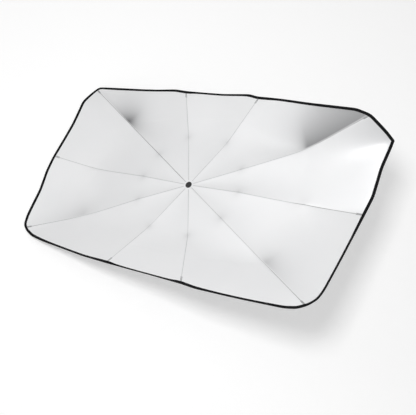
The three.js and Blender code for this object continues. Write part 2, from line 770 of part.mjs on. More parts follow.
// Adds to each column the point where the binding ends, square to the edge and nearly on the cloth's slope
function addHem(columns) {
  const edges = columns.map((column) => column[column.length - 1]);
  return columns.map((column, index) => {
    const edge = edges[index];
    const sideOf = (from, to) => new THREE.Vector2(from.y - to.y, to.x - from.x).normalize();
    const before = sideOf(edges[(index + edges.length - 1) % edges.length], edge);
    const after = sideOf(edge, edges[(index + 1) % edges.length]);
    const square = before.clone().add(after).normalize();
    const inward = square.clone().divideScalar(square.dot(after));
    const inside = column[column.length - 2];
    const run = Math.hypot(inside.x - edge.x, inside.y - edge.y);
    const slope = THREE.MathUtils.clamp((inside.z - edge.z) / run, -STEEPEST_HEM, STEEPEST_HEM);
    const hem = edge.clone().add(new THREE.Vector3(inward.x, inward.y, slope).multiplyScalar(BINDING_WIDTH));
    return [...column.slice(0, -1), hem, edge];
  });
}

// One column of the cloth for each point of its edge
function clothColumns() {
  const columns = [];
  RIBS.forEach((rib, index) => {
    const here = clothOverRib(rib);
    const there = clothOverRib(nextRib(index));
    const edge = edgePoints(index);
    const bearing = (point) => Math.atan2(point.y, point.x);
    const startBearing = bearing(edge[0]);
    const turnTo = (point) => {
      const turn = bearing(point) - startBearing;
      return turn < -1e-9 ? turn + 2 * Math.PI : turn;
    };
    const gore = turnTo(edgeOverRib(nextRib(index)));
    edge.forEach((edgePoint, column) => {
      const share = turnTo(edgePoint) / gore;
      const rows = here.map((point, row) => {
        const hubRow = row < HUB_ROW_RADII.length;
        const chord = point.clone().lerp(there[row], hubRow ? column / edge.length : share);
        if (hubRow) {
          const flat = new THREE.Vector2(chord.x, chord.y).setLength(HUB_ROW_RADII[row]);
          return new THREE.Vector3(flat.x, flat.y, clothBottom);
        }
        chord.z -= GORE_SAGS[row] * Math.sin(Math.PI * share);
        return chord;
      });
      if (!rib.floorEdge) {
        edgePoint.z -= EDGE_SAG * Math.sin(Math.PI * share);
      }
      columns.push([...rows, edgePoint]);
    });
  });
  return columns;
}

// A closed body from rings of points that follow each other round a loop. The faces of the first half of
// each ring are split along the other diagonal, so that a thin sheet has the same creases on both sides.
function closedRing(sections) {
  const count = sections[0].length;
  const positions = sections.flat().flatMap((point) => [point.x, point.y, point.z]);
  const faces = [];
  sections.forEach((_, index) => {
    const next = (index + 1) % sections.length;
    for (let k = 0; k < count; k += 1) {
      const a = index * count + k;
      const b = index * count + ((k + 1) % count);
      const c = next * count + ((k + 1) % count);
      const d = next * count + k;
      if (k < count / 2) {
        faces.push(a, b, d, b, c, d);
      } else {
        faces.push(a, b, c, a, c, d);
      }
    }
  });
  const geometry = new THREE.BufferGeometry();
  geometry.setAttribute('position', new THREE.Float32BufferAttribute(positions, 3));
  geometry.setIndex(faces);
  geometry.computeVertexNormals();
  return geometry;
}

const columns = addHem(clothColumns());
const lift = new THREE.Vector3(0, 0, CLOTH_THICKNESS);
const clothSections = columns.map((column) => [
  ...column.map((point) => point.clone().add(lift)),
  ...column.map((point) => point.clone()).reverse(),
]);
shade.add(meshOf('canopy', closedRing(clothSections), silverCloth));

// Binding: a tape folded over the cloth's edge
const bindingSections = columns.map((column) => {
  const edge = column[column.length - 1];
  const inward = column[column.length - 2].clone().sub(edge).divideScalar(BINDING_WIDTH);
  const at = (inset, up) => edge.clone().addScaledVector(inward, inset).add(new THREE.Vector3(0, 0, up));
  const inner = BINDING_GAP;
  const outer = BINDING_GAP + BINDING_THICKNESS;
  const depth = BINDING_WIDTH - outer;
  return [
    at(-outer, -outer),
    at(depth, -outer),
    at(depth, -inner),
    at(-inner, -inner),
    at(-inner, CLOTH_THICKNESS + inner),
    at(depth, CLOTH_THICKNESS + inner),
    at(depth, CLOTH_THICKNESS + outer),
    at(-outer, CLOTH_THICKNESS + outer),
  ];
});
shade.add(meshOf('edge_binding', closedRing(bindingSections), blackTape));

// Lay the shade on its floor, with its long side along X
const longSide = new THREE.Vector3(1, 0, 0).projectOnPlane(floorUp).normalize();
const crossSide = floorUp.clone().cross(longSide);
const toFloor = new THREE.Matrix4().makeBasis(longSide, crossSide, floorUp).transpose();
shade.quaternion.setFromRotationMatrix(toFloor);

const part = new THREE.Group();
part.add(shade);
part.updateMatrixWorld(true);
const box = new THREE.Box3().setFromObject(part, true);
const middlePoint = box.getCenter(new THREE.Vector3());
shade.position.set(-middlePoint.x, -middlePoint.y, -box.min.z);

export default part;
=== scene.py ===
"""A folding sunshade for a car windscreen, built like an umbrella, lying open on a pale floor."""

import json
import math

import bmesh
import bpy
import numpy as np
from mathutils import Matrix, Vector


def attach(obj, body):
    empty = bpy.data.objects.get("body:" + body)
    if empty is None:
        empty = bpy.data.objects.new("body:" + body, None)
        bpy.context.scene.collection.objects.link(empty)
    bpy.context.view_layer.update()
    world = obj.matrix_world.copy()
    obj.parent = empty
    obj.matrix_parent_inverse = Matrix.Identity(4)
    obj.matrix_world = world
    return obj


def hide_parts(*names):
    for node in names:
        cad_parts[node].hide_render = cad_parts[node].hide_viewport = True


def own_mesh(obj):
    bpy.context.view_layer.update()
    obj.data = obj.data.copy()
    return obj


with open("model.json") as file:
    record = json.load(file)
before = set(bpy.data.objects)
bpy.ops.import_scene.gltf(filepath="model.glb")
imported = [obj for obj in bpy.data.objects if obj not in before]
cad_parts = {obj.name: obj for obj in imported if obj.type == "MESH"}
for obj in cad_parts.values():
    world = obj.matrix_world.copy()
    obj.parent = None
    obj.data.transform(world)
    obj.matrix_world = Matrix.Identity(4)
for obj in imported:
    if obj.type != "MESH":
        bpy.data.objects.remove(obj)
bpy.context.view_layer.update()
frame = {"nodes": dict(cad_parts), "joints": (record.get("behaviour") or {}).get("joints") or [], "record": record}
nodes = frame["nodes"]
joints = {joint["name"]: joint for joint in frame["joints"]}

# Camera
# It looks down on the shade from its near right side, from about two and three quarter metres up.
PICTURE_WIDTH = 416  # pixels
FOCAL_LENGTH = 669.38  # in the same pixels
camera_place = Vector((0.40291, -0.81742, 2.69543))
camera_right = Vector((0.929559, 0.36867, -0.00183))
camera_up = Vector((-0.349103, 0.881798, 0.317111))
camera_back = camera_right.cross(camera_up)
camera_data = bpy.data.cameras.new("camera")
camera_data.sensor_fit = "HORIZONTAL"
camera_data.sensor_width = 36
camera_data.lens = camera_data.sensor_width * FOCAL_LENGTH / PICTURE_WIDTH
camera_data.clip_end = 100
camera = bpy.data.objects.new("camera", camera_data)
bpy.context.scene.collection.objects.link(camera)
turn = Matrix((camera_right, camera_up, camera_back)).transposed()
camera.matrix_world = Matrix.Translation(camera_place) @ turn.to_4x4()
bpy.context.scene.camera = camera
bpy.context.scene.view_settings.view_transform = "Standard"


# Studio
# A white floor that is clear from below, a small lamp overhead, a large soft one on the left, and even
# light from all round.
FLOOR_COLOUR = (0.85, 0.85, 0.85)
FLOOR_SIZE = 60  # metres
FLOOR_GLOW = 0.24  # added where the floor itself is looked at, so that it shows white
SKY_STRENGTH = 0.5


class Amount:
    """A number that changes over a surface, for Python's own operators to work on."""

    def __init__(self, finish, socket):
        self.finish = finish
        self.socket = socket

    def math(self, operation, *others):
        return self.finish.add("Math", {"operation": operation}, [self, *others])

    def __add__(self, other):
        return self.math("ADD", other)

    def __sub__(self, other):
        return self.math("SUBTRACT", other)

    def __mul__(self, other):
        return self.math("MULTIPLY", other)

    def __truediv__(self, other):
        return self.math("DIVIDE", other)

    def __rsub__(self, other):
        return self.finish.add("Math", {"operation": "SUBTRACT"}, [other, self])

    __radd__ = __add__
    __rmul__ = __mul__

    def from_to(self, low, high):
        """0 below low, 1 above high, and smooth between them."""
        values = {"Value": self, "From Min": low, "From Max": high}
        return self.finish.add("MapRange", {"interpolation_type": "SMOOTHSTEP"}, values)


class Finish:
    """A material, with its nodes added one by one."""

    def __init__(self, name, **fixed):
        self.material = bpy.data.materials.new(name)
        self.material.use_nodes = True
        self.tree = self.material.node_tree
        self.surface = self.tree.nodes["Principled BSDF"]
        for socket, value in fixed.items():
            self.put(self.surface, socket.replace("_", " "), value)

    def put(self, node, socket, value):
        target = node.inputs[socket]
        if isinstance(value, Amount):
            self.tree.links.new(value.socket, target)
        elif target.type == "RGBA" and len(value) == 3:
            target.default_value = (*value, 1)
        else:
            target.default_value = value

    def add(self, kind, settings, values, output=0):
        node = self.tree.nodes.new("ShaderNode" + kind)
        for name, value in settings.items():
            setattr(node, name, value)
        pairs = values.items() if isinstance(values, dict) else enumerate(values)
        for socket, value in pairs:
            self.put(node, socket, value)
        return Amount(self, node.outputs[output])

    def place(self, which="Object"):
        return self.add("TexCoord", {}, {}, which)

    def noise(self, where, scale, detail=3.0):
        values = {"Vector": where, "Scale": scale, "Detail": detail}
        return self.add("TexNoise", {}, values, "Fac")

    def blend(self, share, first, second):
        """A colour from first, where share is 0, to second, where it is 1."""
        node = self.tree.nodes.new("ShaderNodeMix")
        node.data_type = "RGBA"
        self.put(node, 0, share)
        self.put(node, 6, first)
        self.put(node, 7, second)
        return Amount(self, node.outputs[2])

    def rough_up(self, height, distance, strength=1.0):
        """Bumps the surface by a height, with distance metres for a height of 1."""
        values = {"Height": height, "Distance": distance, "Strength": strength}
        self.put(self.surface, "Normal", self.add("Bump", {}, values))


floor_finish = Finish("floor", Base_Color=FLOOR_COLOUR, Roughness=0.9)
floor_tree = floor_finish.tree
ray = floor_tree.nodes.new("ShaderNodeLightPath")
from_camera = Amount(floor_finish, ray.outputs["Is Camera Ray"])
from_gloss = Amount(floor_finish, ray.outputs["Is Glossy Ray"])
seen = from_camera.math("MAXIMUM", from_gloss)
glow = floor_finish.add("Emission", {}, {"Color": (1, 1, 1), "Strength": seen * FLOOR_GLOW})
plain = Amount(floor_finish, floor_finish.surface.outputs[0])
both = floor_finish.add("AddShader", {}, [plain, glow])
clear = floor_finish.add("BsdfTransparent", {}, {})
from_below = floor_finish.add("NewGeometry", {}, {}, "Backfacing")
shown = floor_finish.add("MixShader", {}, [from_below, both, clear])
floor_tree.links.new(shown.socket, floor_tree.nodes["Material Output"].inputs["Surface"])

bpy.ops.object.select_all(action="DESELECT")
bpy.ops.mesh.primitive_plane_add(size=FLOOR_SIZE)
floor = bpy.context.object
floor.name = "floor"
floor.data.materials.append(floor_finish.material)

world = bpy.data.worlds.new("studio")
world.use_nodes = True
bpy.context.scene.world = world
sky = world.node_tree.nodes["Background"]
sky.inputs["Color"].default_value = (1, 1, 1, 1)
sky.inputs["Strength"].default_value = SKY_STRENGTH
sky_ray = world.node_tree.nodes.new("ShaderNodeLightPath")
white = world.node_tree.nodes.new("ShaderNodeBackground")
pick = world.node_tree.nodes.new("ShaderNodeMixShader")
world.node_tree.links.new(sky_ray.outputs["Is Camera Ray"], pick.inputs[0])
world.node_tree.links.new(sky.outputs[0], pick.inputs[1])
world.node_tree.links.new(white.outputs[0], pick.inputs[2])
world.node_tree.links.new(pick.outputs[0], world.node_tree.nodes["World Output"].inputs["Surface"])


def lamp(name, place, aim, size, watts):
    data = bpy.data.lights.new(name, "AREA")
    data.shape = "SQUARE"
    data.size = size
    data.energy = watts
    made = bpy.data.objects.new(name, data)
    bpy.context.scene.collection.objects.link(made)
    made.location = place
    made.rotation_euler = (Vector(aim) - Vector(place)).to_track_quat("-Z", "Y").to_euler()


lamp("overhead_lamp", (-0.05, -0.45, 3.05), (0, 0, 0.2), 0.5, 36)
lamp("left_lamp", (-2.6, 0.3, 2.8), (0, 0, 0.3), 2.4, 13)

# Canopy
# One sheet of silver-coated cloth sewn from ten gores, with a double-stitched seam over each rib. The
# ribs hold it taut at the crown, at their joints and in a pocket over each tip. It moves with the ribs as
# strips on both sides of each, in two or three lengths.
RIB_NAMES = [f"rib_{number:02d}" for number in range(1, 11)]
CLOTH_THICKNESS = 0.0005
ACROSS = 48  # faces across a gore
ROWS_INNER = 20
ROWS_MIDDLE = 26
ROWS_OUTER = 28
CROWN_EDGE = (0.0205, 0.0049)  # radius and height at which the cloth leaves the crown
OVER_FIRST_JOINT = 0.0034  # from a joint's pivot up to the cloth
OVER_SECOND_JOINT = 0.0058
TIP_BACK, OVER_TIP = 0.006, 0.0045  # from a rib's end back and up to the last point that holds the cloth

up = -Vector(joints["runner_slide"]["axis"]).normalized()
along = (Vector((1, 0, 0)) - up * up.x).normalized()
side = up.cross(along)
pivots = [Vector(joints[f"{name}_inner_fold"]["pos_m"]) for name in RIB_NAMES]
crown_middle = sum(pivots, Vector()) / len(pivots)
to_row = np.array([along, side, up])


def to_shade(points):
    """Row frame to the shade's own, with the shaft along Z and the crown's pivots at height 0."""
    return (np.asarray(points, float) - np.array(crown_middle)) @ to_row.T


def from_shade(points):
    return np.asarray(points, float) @ to_row + np.array(crown_middle)


def node_points(name):
    return np.array([vertex.co[:] for vertex in nodes[name].data.vertices])


def smooth_bend(share):
    return share * share * (3 - 2 * share)


class Rib:
    """The line that the cloth takes over one rib, in the shade's own frame."""

    def __init__(self, name):
        self.name = name
        self.long = f"{name}_middle" in nodes
        fold = "middle_fold" if self.long else "outer_fold"
        pivot = to_shade([joints[f"{name}_inner_fold"]["pos_m"]])[0]
        first = to_shade([joints[f"{name}_{fold}"]["pos_m"]])[0]
        tip_points = to_shade(node_points(f"{name}_tip"))
        radii = np.hypot(tip_points[:, 0], tip_points[:, 1])
        self.direction = pivot[:2] / np.hypot(*pivot[:2])
        end = tip_points[radii > radii.max() - 0.0005].mean(0)
        self.end_radius = float(end[:2] @ self.direction)
        self.end_height = float(end[2])
        knots = [CROWN_EDGE, (float(first[:2] @ self.direction), float(first[2]) + OVER_FIRST_JOINT)]
        if self.long:
            second = to_shade([joints[f"{name}_outer_fold"]["pos_m"]])[0]
            knots.append((float(second[:2] @ self.direction), float(second[2]) + OVER_SECOND_JOINT))
        knots.append((self.end_radius - TIP_BACK, self.end_height + OVER_TIP))
        self.knots = knots

    def at(self, part, share):
        """Radius and height at a share of one of the three lengths: inner, middle and outer."""
        knots = self.knots
        if not self.long:
            middle = tuple((a + b) / 2 for a, b in zip(knots[1], knots[2]))
            knots = [knots[0], knots[1], middle, knots[2]]
        (r0, z0), (r1, z1) = knots[part], knots[part + 1]
        return r0 + (r1 - r0) * share, z0 + (z1 - z0) * share


ribs = [Rib(name) for name in RIB_NAMES]

# The cloth's edge: the farthest that the plain sheet reaches in every direction from the shaft, eased
# over its small corners, but not at the pointed one
BEARINGS = 1440
EDGE_STEP = 0.0025  # between the points of the edge
CORNER_REACH = 8  # points ahead and behind that the turn at a point is measured over
EDGE_EASE = 4.0  # points that the easing of the edge spreads over
POINTED_REACH = 5.0  # points on either side of the pointed corner that are not eased
sheet = nodes["canopy"].data
sheet_points = to_shade([vertex.co[:] for vertex in sheet.vertices])
sheet_edges = np.array([edge.vertices[:] for edge in sheet.edges])
edge_line = np.zeros((BEARINGS, 3))
for index, bearing in enumerate(np.linspace(-math.pi, math.pi, BEARINGS, endpoint=False)):
    ray = np.array([math.cos(bearing), math.sin(bearing)])
    off = sheet_points[:, 0] * ray[1] - sheet_points[:, 1] * ray[0]
    first, last = off[sheet_edges[:, 0]], off[sheet_edges[:, 1]]
    crossed = (first > 0) != (last > 0)
    share = (first[crossed] / (first[crossed] - last[crossed]))[:, None]
    ends = sheet_edges[crossed]
    met = sheet_points[ends[:, 0]] * (1 - share) + sheet_points[ends[:, 1]] * share
    edge_line[index] = met[np.argmax(met[:, :2] @ ray)]


def run_of(line):
    """How far along a line each of its points is."""
    return np.append(0, np.cumsum(np.linalg.norm(np.diff(line, axis=0), axis=1)))


closed_line = np.vstack([edge_line, edge_line[:1]])
edge_run = run_of(closed_line)
edge_count = int(edge_run[-1] / EDGE_STEP)
even = np.linspace(0, edge_run[-1], edge_count, endpoint=False)
edge_line = np.stack([np.interp(even, edge_run, closed_line[:, axis]) for axis in range(3)], 1)
ahead = np.roll(edge_line, -CORNER_REACH, 0) - edge_line
behind = edge_line - np.roll(edge_line, CORNER_REACH, 0)
turning = (ahead[:, :2] * behind[:, :2]).sum(1)
turning /= np.linalg.norm(ahead[:, :2], axis=1) * np.linalg.norm(behind[:, :2], axis=1)
corner = int(np.argmin(turning))
steps = np.arange(-12, 13)
weights = np.exp(-0.5 * (steps / EDGE_EASE) ** 2)
weights /= weights.sum()
eased = sum(weight * np.roll(edge_line, step, 0) for step, weight in zip(steps, weights))
from_corner = np.abs((np.arange(edge_count) - corner + edge_count // 2) % edge_count - edge_count // 2)
keep = np.exp(-((from_corner / POINTED_REACH) ** 2))[:, None]
edge_line = eased * (1 - keep) + edge_line * keep
edge_bearings = np.unwrap(np.arctan2(edge_line[:, 1], edge_line[:, 0]))
corner_bearing = edge_bearings[corner]


def edge_stretch(start, end, count):
    """Points of the edge from one bearing to the next, evenly spaced, with one on the pointed corner."""
    whole = np.append(edge_bearings, edge_bearings[0] + 2 * math.pi)
    line = np.vstack([edge_line, edge_line[:1]])

    def at(bearings):
        turned = edge_bearings[0] + (bearings - edge_bearings[0]) % (2 * math.pi)
        return np.stack([np.interp(turned, whole, line[:, axis]) for axis in range(3)], 1)

    fine_bearings = np.linspace(start, end, 2001)
    fine = at(fine_bearings)
    run = run_of(fine)
    wanted = np.linspace(0, run[-1], count + 1)
    tip = start + (corner_bearing - start) % (2 * math.pi)
    if tip < end:
        tip_run = np.interp(tip, fine_bearings, run)
        nearest = int(round(tip_run / run[-1] * count))
        wanted = np.concatenate(
            [np.linspace(0, tip_run, nearest + 1), np.linspace(tip_run, run[-1], count - nearest + 1)[1:]]
        )
    return at(np.interp(wanted, run, fine_bearings))


OUTER_ROW = ROWS_INNER + ROWS_MIDDLE
ROWS = OUTER_ROW + ROWS_OUTER
HALF = ACROSS // 2
HEM_PULL = 1.35  # how late in the outer rows the cloth takes the line of its edge
SAG_INNER, SAG_MIDDLE, SAG_OUTER, SAG_EDGE = 0.004, 0.007, 0.008, 0.002


def gore(index):
    """The grid of one gore, from this rib to the next, in the shade's frame: rows from the crown out."""
    here, there = ribs[index], ribs[(index + 1) % len(ribs)]
    start = math.atan2(here.direction[1], here.direction[0])
    span = (math.atan2(there.direction[1], there.direction[0]) - start) % (2 * math.pi)
    hem = edge_stretch(start, start + span, ACROSS)
    shares = np.linspace(0, 1, ACROSS + 1)
    rows = []
    for part, count in enumerate((ROWS_INNER, ROWS_MIDDLE, ROWS_OUTER)):
        for step in range(count):
            share = step / count
            r0, z0 = here.at(part, share)
            r1, z1 = there.at(part, share)
            first = np.array([*(here.direction * r0), z0])
            last = np.array([*(there.direction * r1), z1])
            row = np.outer(1 - shares, first) + np.outer(shares, last)
            if part == 0:
                angles = start + span * shares
                radii = r0 + (r1 - r0) * shares
                arc = np.stack([radii * np.cos(angles), radii * np.sin(angles), row[:, 2]], 1)
                row = arc + (row - arc) * min(1.0, share * 2.5)
                sag = SAG_INNER * min(1.0, share * 1.5)
            else:
                before, after = (SAG_INNER, SAG_MIDDLE) if part == 1 else (SAG_MIDDLE, SAG_OUTER)
                sag = before + (after - before) * smooth_bend(min(1.0, share * 2))
            if part == 2:
                row = row + (hem - row) * share**HEM_PULL
                sag = sag * (1 - share) + SAG_EDGE * share
            row[:, 2] -= sag * np.sin(np.pi * shares)
            rows.append(row)
    rows.append(hem)
    return np.array(rows)


cloth_grid = np.concatenate([gore(index)[:, :-1] for index in range(len(ribs))], axis=1)
COLUMNS = cloth_grid.shape[1]

# Away from the ribs the cloth has no crease at their joints
EASE = 7  # rows
window = np.arange(-2 * EASE, 2 * EASE + 1)
weights = np.exp(-0.5 * (window / EASE) ** 2)
weights /= weights.sum()
padded = np.concatenate(
    [
        2 * cloth_grid[:1] - cloth_grid[2 * EASE : 0 : -1],
        cloth_grid,
        2 * cloth_grid[-1:] - cloth_grid[-2 : -2 * EASE - 2 : -1],
    ]
)
eased = sum(weight * padded[k : k + ROWS + 1] for k, weight in enumerate(weights))
gore_share = np.arange(COLUMNS) % ACROSS / ACROSS
ease_share = np.sin(np.pi * gore_share) ** 0.5
from_ends = np.minimum(np.arange(ROWS + 1), ROWS - np.arange(ROWS + 1)) / (2 * EASE)
ease_weight = np.outer(np.clip(from_ends, 0, 1), ease_share)[:, :, None]
cloth_grid = cloth_grid * (1 - ease_weight) + eased * ease_weight

# Nor does a corner of the edge run far into the cloth
EDGE_BLUR, INNER_BLUR = 0.3, 7  # columns
outer_share = np.clip((np.arange(ROWS + 1) - OUTER_ROW) / ROWS_OUTER, 0, 1)
for row in range(OUTER_ROW, ROWS):
    steps = np.arange(-18, 19)
    weights = np.exp(-0.5 * (steps / (EDGE_BLUR + INNER_BLUR * (1 - outer_share[row]))) ** 2)
    weights /= weights.sum()
    level_row = sum(weight * np.roll(cloth_grid[row], -step, 0) for weight, step in zip(weights, steps))
    amount = (np.sin(np.pi * gore_share) ** 0.7)[:, None]
    cloth_grid[row] = cloth_grid[row] * (1 - amount) + level_row * amount

# On their upper sides the four corner ribs hold the cloth up, and it falls away from them, and painted
# shade darkens the cloth's colour there. Each has the side, the depth of the fall, how dark the shade is,
# and how far it runs across from the rib, along it past the joint, and back before the joint.
FALLS = {
    1: (1, 0.014, 0.74, 0.1, 0.9, 0.018),
    4: (-1, 0.01, 0.98, 0.055, 0.08, 0.045),
    6: (-1, 0.006, 0.24, 0.06, 0.1, 0.03),
    9: (1, 0.008, 0.42, 0.04, 0.07, 0.02),
}
FALL_WIDTH = 0.12  # of the gore
FALL_ONSET = 0.3  # of the middle rows, before which the cloth does not fall
WIDENING_LENGTH = 0.15  # along the rib past its joint, over which the painted shade doubles in width
BACK_LEAN = 0.45  # how much farther back the painted shade runs for each metre beside the rib
# Painted shade: darkening added to the cloth's colour where it is turned from the light
grey = np.zeros(cloth_grid.shape[:2])
onset = (np.arange(ROWS + 1) - ROWS_INNER - ROWS_MIDDLE * FALL_ONSET) / (ROWS_MIDDLE * (1 - FALL_ONSET))
onset = np.clip(onset, 0, 1)
for index, (turning_side, depth, dark, spread, length, before) in FALLS.items():
    across = np.arange(1, ACROSS) / ACROSS
    fall = (1 - np.exp(-across / FALL_WIDTH)) * (1 - across) ** 1.5
    strength = depth * smooth_bend(onset) * (1 - outer_share**6)
    columns = (index * ACROSS + turning_side * np.arange(1, ACROSS)) % COLUMNS
    cloth_grid[:, columns, 2] -= np.outer(strength, fall)
    rib = ribs[index]
    from_joint = cloth_grid[:, columns, :2] - rib.direction * rib.knots[2][0]
    along_rib = from_joint @ rib.direction
    beside = np.abs(from_joint[:, :, 0] * rib.direction[1] - from_joint[:, :, 1] * rib.direction[0])
    back = before + BACK_LEAN * beside
    fade = np.exp(-np.where(along_rib > 0, along_rib / length, -along_rib / back))
    widening = spread * (1 + np.clip(along_rib, 0, None) / WIDENING_LENGTH)
    grey[:, columns] += dark * fade * np.exp(-((beside / widening) ** 1.3))

# How much of its length a seam is drawn darker, from the edge inwards, for each rib
DARKER_SEAMS = {0: 0.45, 1: 0.37, 4: 1.0, 6: 0.35, 9: 0.37}
DARKENING_ONSET = 0.05  # of the seam
strained = np.zeros(cloth_grid.shape[:2])
run_out = np.arange(ROWS + 1) / ROWS
for index, share in DARKER_SEAMS.items():
    near = np.abs((np.arange(COLUMNS) - index * ACROSS + COLUMNS // 2) % COLUMNS - COLUMNS // 2) < HALF
    strained[:, near] = np.clip((run_out - 1 + share) / DARKENING_ONSET, 0, 1)[:, None]

# Towards the pointed corner the cloth's colour is darkened a little with painted shade
TIP_SHADE, TIP_REACH = 0.16, 0.17
tip_distance = np.hypot(*(cloth_grid[:, :, :2] - edge_line[corner, :2]).transpose(2, 0, 1))
grey += TIP_SHADE * np.exp(-((tip_distance / TIP_REACH) ** 1.5))

# The joints of the ribs push the cloth up into shallow peaks
PEAK_HEIGHT, PEAK_REACH = 0.007, 0.035
SMALL_PEAK_HEIGHT, SMALL_PEAK_REACH = 0.0025, 0.014
PEAK_ROUNDING = 0.004
JOINT_SHADE, JOINT_SHADE_REACH = 0.22, 0.011  # painted shade round each inner joint
for rib in ribs:
    for knot, (radius, _) in enumerate(rib.knots[1:-1]):
        outer_joint = rib.long and knot == 1
        rise = PEAK_HEIGHT if outer_joint else SMALL_PEAK_HEIGHT
        spread = PEAK_REACH if outer_joint else SMALL_PEAK_REACH
        away = np.hypot(*(cloth_grid[:, :, :2] - rib.direction * radius).transpose(2, 0, 1))
        cloth_grid[:, :, 2] += rise * np.exp(-np.hypot(away, PEAK_ROUNDING) / spread)
        # Round the inner joints painted shade darkens the cloth's colour
        if not outer_joint:
            grey += JOINT_SHADE * np.exp(-away / JOINT_SHADE_REACH)

round_about = np.roll(cloth_grid, -1, 1) - np.roll(cloth_grid, 1, 1)
outward = np.gradient(cloth_grid, axis=0)
cloth_normals = np.cross(outward, round_about)
cloth_normals /= np.linalg.norm(cloth_normals, axis=2)[:, :, None]
to_hem = np.linalg.norm(np.diff(cloth_grid, axis=0), axis=2)
to_hem = np.vstack([np.cumsum(to_hem[::-1], axis=0)[::-1], np.zeros((1, COLUMNS))])

cloth = Finish("silver_cloth", Roughness=0.5, Metallic=0.3)
seam_distance = cloth.add("Attribute", {"attribute_name": "seam"}, {}, "Fac")
hem_distance = cloth.add("Attribute", {"attribute_name": "hem"}, {}, "Fac")
spot = cloth.place("UV")
body_place = cloth.place()
painted_shade_share = cloth.add("Attribute", {"attribute_name": "grey"}, {}, "Fac")
cloud = cloth.noise(body_place, 5.0)
tone = cloth.blend(cloud, (0.84, 0.845, 0.855), (0.885, 0.887, 0.892))
# Painted shade darkens the silver towards near black
tone = cloth.blend(painted_shade_share, tone, (0.1, 0.1, 0.105))
seam_line = 1 - seam_distance.from_to(0.0004, 0.0016)
seam_darkening_share = cloth.add("Attribute", {"attribute_name": "strained"}, {}, "Fac")
tone = cloth.blend(seam_line * (0.5 + seam_darkening_share * 0.4), tone, (0.2, 0.2, 0.205))
needle = cloth.add("SeparateXYZ", {}, {"Vector": spot}, "Y").math("MULTIPLY", 1500.0).math("SINE")
stitch_row = seam_distance.from_to(0.0021, 0.0025) * (1 - seam_distance.from_to(0.0029, 0.0033))
stitches = stitch_row * needle.from_to(-0.2, 0.2)
tone = cloth.blend(stitches * 0.35, tone, (0.5, 0.5, 0.51))
pocket_rows = seam_distance.from_to(0.0012, 0.0018) * (1 - seam_distance.from_to(0.0034, 0.004))
pocket_reach = hem_distance.from_to(0.008, 0.01) * (1 - hem_distance.from_to(0.028, 0.03))
tone = cloth.blend(pocket_rows * pocket_reach * 0.75, tone, (0.12, 0.12, 0.125))
cloth.put(cloth.surface, "Base Color", tone)
weft = cloth.add("TexWave", {"bands_direction": "X"}, {"Vector": spot, "Scale": 320.0})
warp = cloth.add("TexWave", {"bands_direction": "Y"}, {"Vector": spot, "Scale": 320.0})
crinkle = cloth.noise(body_place, 60.0, 4.0)
sewn = seam_line * 1.2 + stitches * 0.6
cloth.rough_up((weft + warp) * 0.1 + crinkle * 0.5 - sewn, 0.0004, 0.5)
cloth.put(cloth.surface, "Roughness", 0.42 + cloth.noise(body_place, 25.0) * 0.12)


def turned_row(vectors):
    return np.asarray(vectors) @ to_row


def sheet_object(name, grid, normals, marks, finish, thickness, middle, cells):
    """A closed sheet round some faces of a grid, with normals that run on smoothly into its neighbours."""
    rows, columns = grid.shape[:2]
    index = np.arange(rows * columns).reshape(rows, columns)
    a, b, c, d = (part[cells] for part in (index[:-1, :-1], index[1:, :-1], index[1:, 1:], index[:-1, 1:]))
    used, upper = np.unique(np.stack([a, b, c, d], 1), return_inverse=True)
    upper = upper.reshape(-1, 4)
    count = len(used)
    facing = normals.reshape(-1, 3)[used]
    top = from_shade(grid.reshape(-1, 3)[used] + facing * thickness / 2)
    bottom = from_shade(grid.reshape(-1, 3)[used] - facing * thickness / 2)
    lower = upper[:, ::-1] + count
    sides = np.stack([upper, np.roll(upper, -1, 1)], 2).reshape(-1, 2)
    back = set(map(tuple, sides[:, ::-1].tolist()))
    rim = np.array([pair for pair in sides.tolist() if tuple(pair) not in back])
    wall = np.stack([rim[:, 1], rim[:, 0], rim[:, 0] + count, rim[:, 1] + count], 1)
    faces = np.vstack([upper, lower, wall])
    mesh = bpy.data.meshes.new(name)
    mesh.from_pydata(np.vstack([top, bottom]).tolist(), [], faces.tolist())
    for label, values in marks.items():
        layer = mesh.attributes.new(label, "FLOAT", "POINT")
        layer.data.foreach_set("value", np.tile(values.astype(np.float32).ravel()[used], 2))
    down = np.repeat(run_of(grid[:, middle])[:, None], columns, 1)
    uv = np.tile(np.stack([across_from(grid, middle), down], 2).reshape(-1, 2)[used], (2, 1))
    corners = faces.ravel()
    mesh.uv_layers.new(name="cloth").data.foreach_set("uv", uv[corners].astype(np.float32).ravel())
    facing = turned_row(facing)
    corner_normals = np.vstack([facing, -facing])[corners]
    points = np.vstack([top, bottom])[wall]
    square = np.cross(points[:, 1] - points[:, 0], points[:, 2] - points[:, 0])
    square /= np.maximum(np.linalg.norm(square, axis=1), 1e-12)[:, None]
    corner_normals[-len(wall) * 4 :] = np.repeat(square, 4, axis=0)
    mesh.polygons.foreach_set("use_smooth", [True] * len(mesh.polygons))
    mesh.normals_split_custom_set(corner_normals.tolist())
    piece = bpy.data.objects.new(name, mesh)
    bpy.context.scene.collection.objects.link(piece)
    piece.data.materials.append(finish.material)
    return piece


def across_from(grid, middle):
    """How far along its row each point is from the middle column."""
    across = np.zeros(grid.shape[:2])
    across[:, 1:] = np.cumsum(np.linalg.norm(np.diff(grid, axis=1), axis=2), axis=1)
    return across - across[:, middle][:, None]


def grid_area(grid, cells):
    a = np.cross(grid[1:, :-1] - grid[:-1, :-1], grid[:-1, 1:] - grid[:-1, :-1])
    b = np.cross(grid[1:, :-1] - grid[1:, 1:], grid[:-1, 1:] - grid[1:, 1:])
    return float((np.linalg.norm(a, axis=2) + np.linalg.norm(b, axis=2))[cells].sum() / 2)


OVER_JOINT = 0.015  # how far the cloth may stand above the joints of the folded ribs
LEAST_CARRIED = 3  # faces that each rib carries of every outer row


